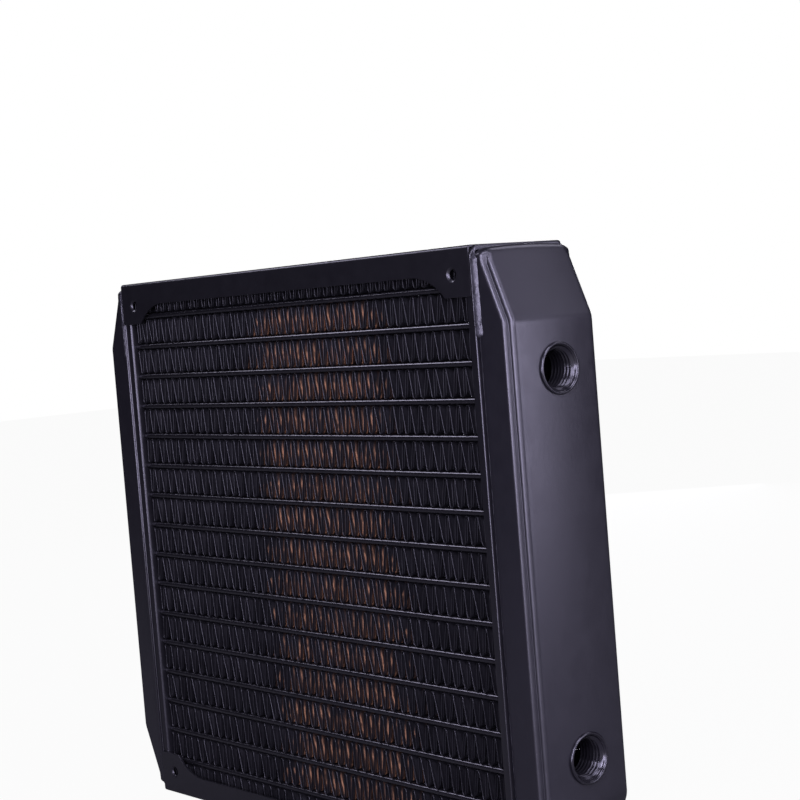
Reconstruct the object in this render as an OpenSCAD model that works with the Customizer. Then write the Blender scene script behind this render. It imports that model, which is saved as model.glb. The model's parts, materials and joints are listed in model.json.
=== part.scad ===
// Liquid cooling radiator for a 200 mm class fan.
// +X runs along the tubes towards the tank that carries both hose ports, -Y is one fan face and
// +Z is up when the radiator stands on its lower side plate.
// The origin is the centre of that plate's underside.

/* [Fan faces] */
// Distance between fan screw holes, across and up
fan_pitch = 180; // [170:1:190]
// Fan screw hole diameter
fan_hole_d = 3.1; // [2.5:0.1:3.4]
// Countersink diameter at the fan face
fan_sink_d = 4.4; // [4:0.1:4.8]
// Depth of the countersink
fan_sink_depth = 0.3; // [0.2:0.05:0.4]
// Fan screw hole to the long edge of the side plate
hole_to_edge = 8.5; // [8:0.1:10]
// Fan screw hole to the end of the side plate
hole_to_end = 8; // [7:0.1:9]

/* [Side plates] */
// Depth of the radiator between its two fan faces
depth = 40; // [36:1:60]
// Sheet thickness of side plates
plate_t = 0.8; // [0.6:0.1:0.8]
// Width of the folded flange between the screw tabs
flange_w = 8.4; // [7:0.1:8.5]
// Width of the folded flange at the screw tabs
tab_w = 15.5; // [14:0.1:17]
// Radius of the sweep from flange to tab
sweep_r = 20.2; // [19:0.1:22]
// Screw hole to the start of the sweep
sweep_start = 19.1; // [18:0.1:20]
// Screw hole to the corner where the sweep ends
tab_corner = 3.7; // [3.4:0.1:4.5]

/* [Core] */
// Number of flat tubes
tube_count = 16; // [8:2:16]
// Outer thickness of a flat tube
tube_t = 2; // [1.6:0.1:2.4]
// Wall thickness of a flat tube
tube_wall = 0.25; // [0.2:0.05:0.4]
// Depth of tubes and fins behind each fan face
core_recess = 2.5; // [2.5:0.1:4]
// First tube's centre below the top of the radiator
first_tube = 12.8; // [11:0.1:14]
// Number of fin folds along the core
fin_folds = 42; // [30:1:60]
// Thickness of the fin foil
fin_t = 0.12; // [0.1:0.01:0.2]

/* [Tanks] */
// Screw hole to the header plate's face on the core side
hole_to_header = 4.6; // [4:0.1:5]
// Screw hole to the tank's outer end face
hole_to_tank_end = 22.8; // [22:0.1:30]
// Thickness of the header plate's floor
header_t = 1.2; // [1:0.1:1.5]
// Sheet thickness of tank shells and header rims
tank_t = 0.8; // [0.6:0.1:0.8]
// Height of the raised panel on the tank's end
panel_h = 1.6; // [1.2:0.1:2]
// Inset of the raised panel from the tank's sides
panel_inset = 1.6; // [0.9:0.1:2]
// How far the tank's sides stand out past its foot
wall_bulge = 0.6; // [0.3:0.1:0.8]
// Top of the radiator to the bend between end face and slant
bend_drop = 23.6; // [20:0.1:28]
// Run of the slant along the tubes
slant_run = 8.9; // [6:0.1:10]

/* [Ports] */
// Centre of a hose port to the nearer edge of the radiator
port_drop = 39; // [36:0.5:60]
// Bore of the port's G1/4 thread at its crests
port_bore_d = 11.6; // [11.5:0.05:11.8]
// Outer diameter of the port's collar
collar_d = 16.2; // [16:0.1:18]
// Length of the threaded bore
thread_len = 8.2; // [7.5:0.1:9]

/* [Bleed plug] */
// Diameter of the plug's head
plug_head_d = 18.4; // [18.2:0.1:20]
// Thickness of the plug's head
plug_head_t = 3.2; // [3:0.1:4]
// Width of the hexagon socket across its flats
plug_hex = 6; // [5:0.5:8]

/* [Hidden] */
$fn = 64;
// A little past a face that a cut has to clear
eps = 0.5;
// Film of solder or air between parts that meet
film = 0.03;
// Gap between a fin strip's end and the header plate
fin_gap = 0.2;

width = fan_pitch + 2 * hole_to_edge;
plate_len = fan_pitch + 2 * hole_to_end;
half_pitch = fan_pitch / 2;
half_depth = depth / 2;
face_y = half_depth - plate_t;
header_x = half_pitch + hole_to_header;
floor_x = header_x + header_t;
lip_x = plate_len / 2;
tank_y = face_y - tank_t;
wall_y = tank_y + wall_bulge;
wall_x = lip_x + tank_t + film;
tank_base = plate_t + tank_t;
end_x = half_pitch + hole_to_tank_end;
shoulder_x = end_x - panel_h;
lip_corner = 3;

core_depth = depth - 2 * core_recess;
tube_pitch = (width - 2 * first_tube) / (tube_count - 1);
tube_poke = 1.2;
tube_half = floor_x + tube_poke;

collar_h = 0.8;
collar_face = end_x + collar_h;
mouth_d = 13.4;
mouth_depth = 1.6;
barrel_d = 15;
bush_len = mouth_depth + thread_len;

plug_gap = 0.25;
plug_clear = 0.05;
plug_depth = 8.6;
seal_r = 7.2;
seal_section = 0.75;
groove_depth = 1.3;
groove_play = 0.15;
hex_depth = 2.2;
head_bevel = 0.6;

function numbered(base, i) = str(base, i < 10 ? "_0" : "_", i);
function tube_z(i) = width - first_tube - (i - 1) * tube_pitch;

// ---- helpers ----

// A plane figure drawn in X and Z, given a thickness along Y about the middle of the radiator
module across(thickness) {
    translate([0, thickness / 2, 0])
        rotate([90, 0, 0])
            linear_extrude(height = thickness)
                children();
}

// The same piece at the far end of the core
module at_return_end() {
    mirror([1, 0, 0]) children();
}

// The same piece at the bottom of the core
module at_bottom() {
    translate([0, 0, width]) mirror([0, 0, 1]) children();
}

// ---- side plates ----

// Outline of one flange: a narrow strip with a swept tab at each end
module flange_outline() {
    top = width;
    tab_edge = half_pitch - tab_corner;
    difference() {
        translate([-plate_len / 2, top - tab_w])
            square([plate_len, tab_w]);
        translate([-(half_pitch - sweep_start), top - tab_w - eps])
            square([2 * (half_pitch - sweep_start), tab_w - flange_w + eps]);
        for (side = [-1, 1])
            intersection() {
                translate([side * (half_pitch - sweep_start), top - flange_w - sweep_r])
                    circle(r = sweep_r);
                translate([side > 0 ? 0 : -tab_edge, top - tab_w - eps])
                    square([tab_edge, tab_w + eps]);
            }
    }
}

module fan_hole(side_x, side_y) {
    flare = (fan_sink_d - fan_hole_d) / fan_sink_depth;
    translate([side_x * half_pitch, side_y * half_depth, width - hole_to_edge])
        rotate([side_y * 90, 0, 0])
            translate([0, 0, -eps]) {
                cylinder(d = fan_hole_d, h = plate_t + 2 * eps);
                cylinder(d1 = fan_sink_d + flare * eps, d2 = fan_hole_d, h = fan_sink_depth + eps);
            }
}

module side_plate() {
    color([0.09, 0.09, 0.1])
        difference() {
            union() {
                translate([-plate_len / 2, -half_depth, width - plate_t])
                    cube([plate_len, depth, plate_t]);
                for (side = [-1, 1])
                    translate([0, side * (half_depth - plate_t / 2), 0])
                        across(plate_t) flange_outline();
            }
            for (side_x = [-1, 1])
                for (side_y = [-1, 1])
                    fan_hole(side_x, side_y);
        }
}

// ---- header plates ----

// Flat-sided tube section with round edges, drawn in Y and Z about its centre
module tube_section(deep, thick) {
    flat = deep - thick;
    square([thick, flat], center = true);
    for (side = [-1, 1])
        translate([0, side * flat / 2])
            circle(d = thick);
}

// A solid bar of tube section along X, centred on the core
module tube_bar(i, deep, thick, half_len) {
    translate([-half_len, 0, tube_z(i)])
        rotate([0, 90, 0])
            linear_extrude(height = 2 * half_len)
                tube_section(deep, thick);
}

// A rectangle about the tank's centre line, drawn in Z and Y
module tank_rect(inset, corner) {
    long = width - 2 * inset;
    wide = depth - 2 * inset;
    translate([-width / 2, 0]) {
        square([long - 2 * corner, wide], center = true);
        square([long, wide - 2 * corner], center = true);
        if (corner > 0)
            for (a = [-1, 1])
                for (b = [-1, 1])
                    translate([a * (long / 2 - corner), b * (wide / 2 - corner)])
                        circle(r = corner);
    }
}

// A slab of the tank's section between two places along X
module tank_slab(x0, x1, inset, corner = 0) {
    translate([x0, 0, 0])
        rotate([0, 90, 0])
            linear_extrude(height = x1 - x0)
                tank_rect(inset, corner);
}

module header_plate() {
    color([0.11, 0.11, 0.12])
        difference() {
            union() {
                tank_slab(header_x, lip_x, plate_t);
                tank_slab(lip_x, lip_x + tank_t, 0, lip_corner);
            }
            tank_slab(floor_x, lip_x + tank_t + eps, tank_base);
            for (i = [1 : tube_count])
                tube_bar(i, core_depth + 2 * film, tube_t + 2 * film, floor_x + eps);
        }
}

// ---- tanks ----

// Side view of a tank body: a straight foot, slanted ends and a flat end face
module tank_outline(foot, base, end) {
    slope = slant_run / (bend_drop - tank_base);
    bend = bend_drop + (end_x - end) * tan(atan(slope) / 2);
    run = slope * (bend - base);
    polygon([
        [foot, base],
        [end - run, base],
        [end, bend],
        [end, width - bend],
        [end - run, width - base],
        [foot, width - base]
    ]);
}

// The foot, the body and the raised panel of a tank, drawn smaller by the sheet thickness for the
// hollow inside
module tank_body(foot, shrink) {
    across(2 * (tank_y - shrink))
        tank_outline(foot, tank_base + shrink, shoulder_x - shrink);
    across(2 * (wall_y - shrink))
        tank_outline(wall_x + shrink, tank_base + shrink, shoulder_x - shrink);
    across(2 * (wall_y - panel_inset - shrink))
        tank_outline(foot, tank_base + panel_inset + shrink, end_x - shrink);
}

module port_hole(drop) {
    translate([shoulder_x - 2 * tank_t, 0, width - drop])
        rotate([0, 90, 0])
            cylinder(d = barrel_d + 2 * film, h = panel_h + 3 * tank_t);
}

module tank_shell(drops) {
    color([0.12, 0.12, 0.14])
        difference() {
            tank_body(floor_x, 0);
            tank_body(floor_x - eps, tank_t);
            for (drop = drops)
                port_hole(drop);
        }
}

// Baffle that parts the inlet half of the port tank from the outlet half
module tank_divider() {
    baffle_t = 1;
    wide = tank_y - tank_t - film;
    narrow = min(wide, wide + wall_bulge - panel_inset);
    color([0.6, 0.5, 0.3])
        translate([0, 0, width / 2 - baffle_t / 2])
            linear_extrude(height = baffle_t)
                polygon([
                    [floor_x + film, -wide],
                    [shoulder_x - tank_t - film, -wide],
                    [shoulder_x - tank_t - film, -narrow],
                    [end_x - tank_t - film, -narrow],
                    [end_x - tank_t - film, narrow],
                    [shoulder_x - tank_t - film, narrow],
                    [shoulder_x - tank_t - film, wide],
                    [floor_x + film, wide]
                ]);
}

// ---- ports and bleed plug ----

// Turns a profile drawn as radius and height into a piece about a port, height measured outwards
// from the collar's face
module at_port(drop) {
    translate([collar_face, 0, width - drop])
        rotate([0, 90, 0])
            children();
}

module port_bush(drop) {
    bore_r = port_bore_d / 2;
    color([0.14, 0.14, 0.16])
        at_port(drop)
            rotate_extrude()
                polygon([
                    [bore_r, -bush_len],
                    [barrel_d / 2, -bush_len],
                    [barrel_d / 2, -collar_h],
                    [collar_d / 2, -collar_h],
                    [collar_d / 2, -collar_h / 3],
                    [collar_d / 2 - collar_h / 3, 0],
                    [mouth_d / 2, 0],
                    [mouth_d / 2, -mouth_depth],
                    [bore_r, -mouth_depth]
                ]);
}

module bleed_plug() {
    head_r = plug_head_d / 2;
    top = plug_gap + plug_head_t;
    shank_r = port_bore_d / 2 - plug_clear;
    groove_in = seal_r - seal_section - groove_play;
    groove_out = seal_r + seal_section + groove_play;
    groove_top = plug_gap + groove_depth;
    color([0.1, 0.1, 0.11])
        at_port(port_drop)
            difference() {
                rotate_extrude()
                    polygon([
                        [0, -plug_depth],
                        [shank_r - head_bevel, -plug_depth],
                        [shank_r, -plug_depth + head_bevel],
                        [shank_r, plug_gap],
                        [groove_in, plug_gap],
                        [groove_in, groove_top],
                        [groove_out, groove_top],
                        [groove_out, plug_gap],
                        [head_r, plug_gap],
                        [head_r, top - head_bevel],
                        [head_r - head_bevel, top],
                        [0, top]
                    ]);
                translate([0, 0, top - hex_depth])
                    cylinder(d = plug_hex / cos(30), h = hex_depth + eps, $fn = 6);
            }
}

module bleed_plug_seal() {
    color([0.05, 0.05, 0.05])
        at_port(port_drop)
            translate([0, 0, seal_section + film])
                rotate_extrude()
                    translate([seal_r, 0])
                        circle(r = seal_section);
}

// ---- core ----

module flat_tube(i) {
    color([0.16, 0.16, 0.18])
        difference() {
            tube_bar(i, core_depth, tube_t, tube_half);
            tube_bar(i, core_depth - 2 * tube_wall, tube_t - 2 * tube_wall, tube_half + eps);
        }
}

// Row i of fins lies above tube i; the last row lies below the last tube
module fin_strip(i) {
    top = (i == 1) ? width - plate_t : tube_z(i - 1) - tube_t / 2;
    bottom = (i == tube_count + 1) ? plate_t : tube_z(i) + tube_t / 2;
    half_len = header_x - fin_gap;
    step = half_len / fin_folds;
    half_wave = (top - bottom) / 2 - film;
    // Foil thickness measured straight up through a sloping wall
    rise = fin_t * sqrt(1 + pow(2 * half_wave / step, 2));
    crest = half_wave - rise / 2;
    wave = [for (k = [0 : 2 * fin_folds]) [k * step - half_len, k % 2 == 0 ? crest : -crest]];
    upper = [for (p = wave) p + [0, rise / 2]];
    lower = [for (k = [len(wave) - 1 : -1 : 0]) wave[k] - [0, rise / 2]];
    color([0.55, 0.33, 0.22])
        translate([0, 0, (top + bottom) / 2])
            across(core_depth)
                polygon(concat(upper, lower));
}

// ---- assembly ----

side_plate();  // top_side_plate
at_bottom() side_plate();  // bottom_side_plate
header_plate();  // port_header_plate
at_return_end() header_plate();  // return_header_plate
tank_shell([port_drop, width - port_drop]);  // port_tank_shell
at_return_end() tank_shell([port_drop]);  // return_tank_shell
tank_divider();
port_bush(port_drop);  // upper_port_bush
port_bush(width - port_drop);  // lower_port_bush
at_return_end() port_bush(port_drop);  // bleed_port_bush
at_return_end() bleed_plug();
at_return_end() bleed_plug_seal();
for (i = [1 : tube_count])
    flat_tube(i);
for (i = [1 : tube_count + 1])
    fin_strip(i);
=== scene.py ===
"""Looks for the liquid cooling radiator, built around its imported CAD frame.

Lengths are in millimetres in the helpers and become metres when a mesh is made.
Axes as in the CAD: +X along the tubes to the port tank, -Y out of the front fan face, +Z up.
"""

import json
import math
import random

import bmesh
import bpy
from mathutils import Matrix, Vector, noise


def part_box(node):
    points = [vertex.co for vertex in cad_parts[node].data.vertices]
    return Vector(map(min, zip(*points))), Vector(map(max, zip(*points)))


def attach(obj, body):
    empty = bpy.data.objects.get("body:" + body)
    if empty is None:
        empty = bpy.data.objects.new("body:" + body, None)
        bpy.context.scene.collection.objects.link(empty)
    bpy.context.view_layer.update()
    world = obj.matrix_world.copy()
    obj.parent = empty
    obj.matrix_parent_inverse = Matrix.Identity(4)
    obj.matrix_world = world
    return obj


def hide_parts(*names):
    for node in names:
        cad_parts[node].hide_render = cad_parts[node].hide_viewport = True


MM = 0.001
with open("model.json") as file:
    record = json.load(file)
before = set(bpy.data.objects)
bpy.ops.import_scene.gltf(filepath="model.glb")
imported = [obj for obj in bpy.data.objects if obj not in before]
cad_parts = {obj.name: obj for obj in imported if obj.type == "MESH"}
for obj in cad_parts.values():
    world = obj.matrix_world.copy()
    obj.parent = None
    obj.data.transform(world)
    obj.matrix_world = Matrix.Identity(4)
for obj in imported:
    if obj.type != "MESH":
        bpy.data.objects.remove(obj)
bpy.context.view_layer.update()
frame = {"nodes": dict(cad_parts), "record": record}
rng = random.Random(7)

ROOT_BODY = "radiator"
PLUG_BODY = "plug"
SEAL_BODY = "plug_seal"


# ---- sizes, read from the frame ----

def box_mm(node):
    low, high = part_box(node)
    return Vector(low) / MM, Vector(high) / MM


def mount_mm(name):
    for mount in frame["record"]["mounts"]:
        if mount["name"] == name:
            return Vector(mount["pos_m"]) / MM, mount["dims"]
    raise KeyError(name)


plate_low, plate_high = box_mm("top_side_plate")
header_low, header_high = box_mm("port_header_plate")
tank_low, tank_high = box_mm("port_tank_shell")
upper_bush_low, upper_bush_high = box_mm("upper_port_bush")
bleed_bush_low, bleed_bush_high = box_mm("bleed_port_bush")
plug_low, plug_high = box_mm("bleed_plug")
seal_low, seal_high = box_mm("bleed_plug_seal")

WIDTH = header_high.z
HALF_DEPTH = header_high.y
LIP_X = plate_high.x
HEADER_X = header_low.x
LIP_END = header_high.x
FLOOR_X = tank_low.x
END_X = tank_high.x
TANK_TOP = tank_high.z
PLATE_T = tank_low.z / 2
SHEET_T = tank_low.z / 2
FOOT_Y = HALF_DEPTH - PLATE_T - SHEET_T
WALL_Y = tank_high.y + 0.15
TAB_W = plate_high.z - plate_low.z

fan_dims = mount_mm("front_fan_holes")[1]
FAN_HALF = fan_dims["spacing_x_mm"] / 2
FAN_HOLE_R = fan_dims["hole_r_mm"]
HOLE_TO_EDGE = WIDTH / 2 - FAN_HALF

port_centre, port_dims = mount_mm("upper_port")
BORE_R = port_dims["r_mm"]
PORT_DROP = WIDTH - port_centre.z
COLLAR_FACE = upper_bush_high.x
BARREL_LEN = upper_bush_high.x - upper_bush_low.x
COLLAR_R = (upper_bush_high.y - upper_bush_low.y) / 2

THREAD_PITCH = 1.337
THREAD_DEPTH = 0.78

TUBES = sorted(n for n in frame["nodes"] if n.startswith("flat_tube_"))
FINS = sorted(n for n in frame["nodes"] if n.startswith("fin_strip_"))


# ---- mesh helpers ----

def new_object(name, verts, faces, smooth_angle=35):
    """A mesh object from points in millimetres, smooth except over edges sharper than the angle."""
    mesh = bpy.data.meshes.new(name)
    mesh.from_pydata([Vector(v) * MM for v in verts], [], faces)
    mesh.validate()
    obj = bpy.data.objects.new(name, mesh)
    bpy.context.scene.collection.objects.link(obj)
    smooth(obj, smooth_angle)
    return obj


def smooth(obj, angle):
    obj.data.shade_smooth()
    obj.data.set_sharp_from_angle(angle=math.radians(angle))


def tidy_mesh(obj, merge=0.002, smooth_angle=35):
    """Joins doubled points, drops loose ones and turns all faces outwards."""
    bm = bmesh.new()
    bm.from_mesh(obj.data)
    bmesh.ops.remove_doubles(bm, verts=bm.verts, dist=merge * MM)
    bmesh.ops.dissolve_degenerate(bm, dist=merge * MM, edges=bm.edges)
    loose = [v for v in bm.verts if not v.link_faces]
    bmesh.ops.delete(bm, geom=loose, context="VERTS")
    bmesh.ops.recalc_face_normals(bm, faces=bm.faces)
    bm.to_mesh(obj.data)
    bm.free()
    smooth(obj, smooth_angle)


def bake_modifiers(obj):
    """Replaces the object's mesh with the result of its modifiers."""
    graph = bpy.context.evaluated_depsgraph_get()
    result = bpy.data.meshes.new_from_object(obj.evaluated_get(graph))
    obj.modifiers.clear()
    obj.data = result


def apply_modifiers(obj, smooth_angle=35):
    bake_modifiers(obj)
    smooth(obj, smooth_angle)


def even_normals(obj, smooth_angle=30):
    """Keeps large flat faces flat in shading; only the rounded edges between them turn."""
    smooth(obj, smooth_angle)
    mod = obj.modifiers.new("normals", "WEIGHTED_NORMAL")
    mod.keep_sharp = True
    mod.weight = 100
    bake_modifiers(obj)


def cut(obj, cutter):
    """Removes the cutter's volume from the object, then the cutter itself."""
    mod = obj.modifiers.new("cut", "BOOLEAN")
    mod.operation = "DIFFERENCE"
    mod.solver = "EXACT"
    mod.use_self = True
    mod.object = cutter
    apply_modifiers(obj)
    bpy.data.objects.remove(cutter)


def bevel(obj, width, segments=2, angle=40):
    mod = obj.modifiers.new("edges", "BEVEL")
    mod.width = width * MM
    mod.segments = segments
    mod.limit_method = "ANGLE"
    mod.angle_limit = math.radians(angle)
    mod.use_clamp_overlap = True
    mod.harden_normals = False
    apply_modifiers(obj, smooth_angle=50)


def grid_faces(rows, cols, closed_rows=False, closed_cols=False, flip=False):
    """Quads over a grid of points stored row by row."""
    faces = []
    for r in range(rows if closed_rows else rows - 1):
        for c in range(cols if closed_cols else cols - 1):
            r2 = (r + 1) % rows
            c2 = (c + 1) % cols
            quad = (r * cols + c, r * cols + c2, r2 * cols + c2, r2 * cols + c)
            faces.append(quad[::-1] if flip else quad)
    return faces


def arc(centre, radius, start, end, steps):
    """Points on an arc in a plane, angles in degrees, both ends included."""
    points = []
    for i in range(steps + 1):
        a = math.radians(start + (end - start) * i / steps)
        points.append((centre[0] + radius * math.cos(a), centre[1] + radius * math.sin(a)))
    return points


def turned(ring, a, place):
    """Points of (radius, height) at the angle a about the local Z axis, placed."""
    c, s = math.cos(a), math.sin(a)
    return [place @ Vector((radius * c, radius * s, height)) for radius, height in ring]


def lathe(name, profile, segments, place, smooth_angle=35):
    """Turns a closed profile of (radius, height) about the local Z axis, then places it."""
    verts = []
    for s in range(segments):
        verts += turned(profile, 2 * math.pi * s / segments, place)
    faces = grid_faces(segments, len(profile), closed_rows=True, closed_cols=True)
    obj = new_object(name, verts, faces, smooth_angle)
    tidy_mesh(obj, smooth_angle=smooth_angle)
    return obj


def finish_piece(obj, node, body, material):
    obj.data.materials.clear()
    obj.data.materials.append(material)
    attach(obj, body)
    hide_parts(node)
    return obj


# ---- material helpers ----

class Nodes:
    """A short way to write a material's node tree."""

    def __init__(self, name):
        self.material = bpy.data.materials.new(name)
        self.material.use_nodes = True
        self.tree = self.material.node_tree
        self.tree.nodes.clear()
        self.output = self.add("ShaderNodeOutputMaterial")
        self.shader = self.add("ShaderNodeBsdfPrincipled")
        self.link(self.shader, "BSDF", self.output, "Surface")
        self.place = self.add("ShaderNodeTexCoord")

    def add(self, kind, **settings):
        node = self.tree.nodes.new(kind)
        for key, value in settings.items():
            setattr(node, key, value)
        return node

    def link(self, source, out_name, target, in_name):
        self.tree.links.new(source.outputs[out_name], target.inputs[in_name])

    def set(self, **values):
        for key, value in values.items():
            self.shader.inputs[key.replace("_", " ").title().replace("Ior", "IOR")].default_value = value

    def noise(self, scale, detail=3.0, roughness=0.55, stretch=(1, 1, 1)):
        """Noise whose features are about `scale` millimetres across."""
        mapping = self.add("ShaderNodeMapping")
        mapping.inputs["Scale"].default_value = stretch
        texture = self.add("ShaderNodeTexNoise")
        texture.inputs["Scale"].default_value = 1 / (scale * MM)
        texture.inputs["Detail"].default_value = detail
        texture.inputs["Roughness"].default_value = roughness
        self.link(self.place, "Object", mapping, "Vector")
        self.link(mapping, "Vector", texture, "Vector")
        return texture

    def ramp(self, source, out_name, low, high, from_min=0.0, from_max=1.0):
        """Maps a value range onto another, clamped."""
        node = self.add("ShaderNodeMapRange")
        node.inputs["From Min"].default_value = from_min
        node.inputs["From Max"].default_value = from_max
        node.inputs["To Min"].default_value = low
        node.inputs["To Max"].default_value = high
        self.link(source, out_name, node, "Value")
        return node

    def axes(self):
        """The place on the object, split in X, Y and Z."""
        node = self.add("ShaderNodeSeparateXYZ")
        self.link(self.place, "Object", node, "Vector")
        return node

    def math(self, operation, a, b=None, c=None):
        """A math node; each input is a number or a (node, output) pair."""
        node = self.add("ShaderNodeMath", operation=operation)
        for i, value in enumerate((a, b, c)):
            if value is None:
                continue
            if isinstance(value, (int, float)):
                node.inputs[i].default_value = value
            else:
                self.tree.links.new(value[0].outputs[value[1]], node.inputs[i])
        return node

    def mix_colour(self, factor, a, b):
        """Mixes two colours by a (node, output) factor; each colour is a tuple or a (node, output)."""
        node = self.add("ShaderNodeMix", data_type="RGBA")
        self.tree.links.new(factor[0].outputs[factor[1]], node.inputs[0])
        for socket, value in ((6, a), (7, b)):
            if isinstance(value[0], (int, float)):
                node.inputs[socket].default_value = (*value, 1)
            else:
                self.tree.links.new(value[0].outputs[value[1]], node.inputs[socket])
        return node

    def bump(self, layers):
        """Chains bump nodes; each layer is (texture, output, height in mm)."""
        last = None
        for texture, out_name, height in layers:
            node = self.add("ShaderNodeBump")
            node.inputs["Distance"].default_value = height * MM
            self.link(texture, out_name, node, "Height")
            if last:
                self.link(last, "Normal", node, "Normal")
            last = node
        self.link(last, "Normal", self.shader, "Normal")


# the paint's sheen is faintly violet
SHEEN = (0.86, 0.82, 1.0, 1.0)


def satin_paint(name, colour, rough=(0.34, 0.44), peel=0.02, grain=0.004):
    """Sprayed satin black: a soft orange peel, a fine grain and a drifting gloss."""
    n = Nodes(name)
    drift = n.noise(14, 2)
    tone = n.mix_colour((drift, "Fac"), tuple(c * 0.85 for c in colour), tuple(c * 1.18 for c in colour))
    n.link(tone, 2, n.shader, "Base Color")
    gloss = n.ramp(n.noise(5, 4), "Fac", rough[0], rough[1], 0.3, 0.7)
    n.link(gloss, "Result", n.shader, "Roughness")
    n.set(specular_tint=SHEEN)
    n.bump([(n.noise(1.6, 2), "Fac", peel), (n.noise(0.25, 2), "Fac", grain)])
    return n.material


# depths behind the collar's face at which the painted shade in the bore begins and is full: the gloss
# fades out between them
SHADE_START_DEPTH = 3.4
SHADE_FULL_DEPTH = 5.4


def port_paint(name, colour):
    """Glossier black whose gloss fades out deep in the bore: painted shade for the dark deep inside, where
    the light does not reach.
    """
    n = Nodes(name)
    wear = n.noise(2.5, 4)
    tone = n.mix_colour((wear, "Fac"), tuple(c * 0.8 for c in colour), tuple(c * 1.2 for c in colour))
    n.link(tone, 2, n.shader, "Base Color")
    split = n.axes()
    along = n.math("ABSOLUTE", (split, "X"))
    # painted shade: the reflection fades out with depth in the bore
    bore_shade_gloss = n.ramp(along, 0, 0.02, 0.5, (COLLAR_FACE - SHADE_FULL_DEPTH) * MM, (COLLAR_FACE - SHADE_START_DEPTH) * MM)
    n.link(bore_shade_gloss, "Result", n.shader, "Specular IOR Level")
    gloss = n.ramp(wear, "Fac", 0.16, 0.24, 0.3, 0.7)
    n.link(gloss, "Result", n.shader, "Roughness")
    n.set(specular_tint=SHEEN)
    n.bump([(n.noise(0.5, 3), "Fac", 0.006)])
    return n.material


def solder_paint(name, colour):
    """Paint over lumpy solder: the same black with runs, pits and a greyer film."""
    n = Nodes(name)
    patch = n.noise(2.2, 5, 0.65, (1, 1, 0.45))
    blend = n.ramp(patch, "Fac", 0.0, 1.0, 0.35, 0.65)
    tone = n.mix_colour((blend, "Result"), tuple(c * 0.6 for c in colour), tuple(c * 1.6 for c in colour))
    n.link(tone, 2, n.shader, "Base Color")
    gloss = n.ramp(patch, "Fac", 0.26, 0.5, 0.3, 0.7)
    n.link(gloss, "Result", n.shader, "Roughness")
    # pits and cracks that reflect nothing
    pits = n.ramp(n.noise(0.9, 4, 0.6, (1, 1, 0.4)), "Fac", 0.5, 0.05, 0.60, 0.68)
    n.link(pits, "Result", n.shader, "Specular IOR Level")
    n.set(specular_tint=SHEEN)
    n.bump([(n.noise(1.1, 4, 0.6), "Fac", 0.12), (n.noise(0.3, 3), "Fac", 0.02)])
    return n.material


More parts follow.
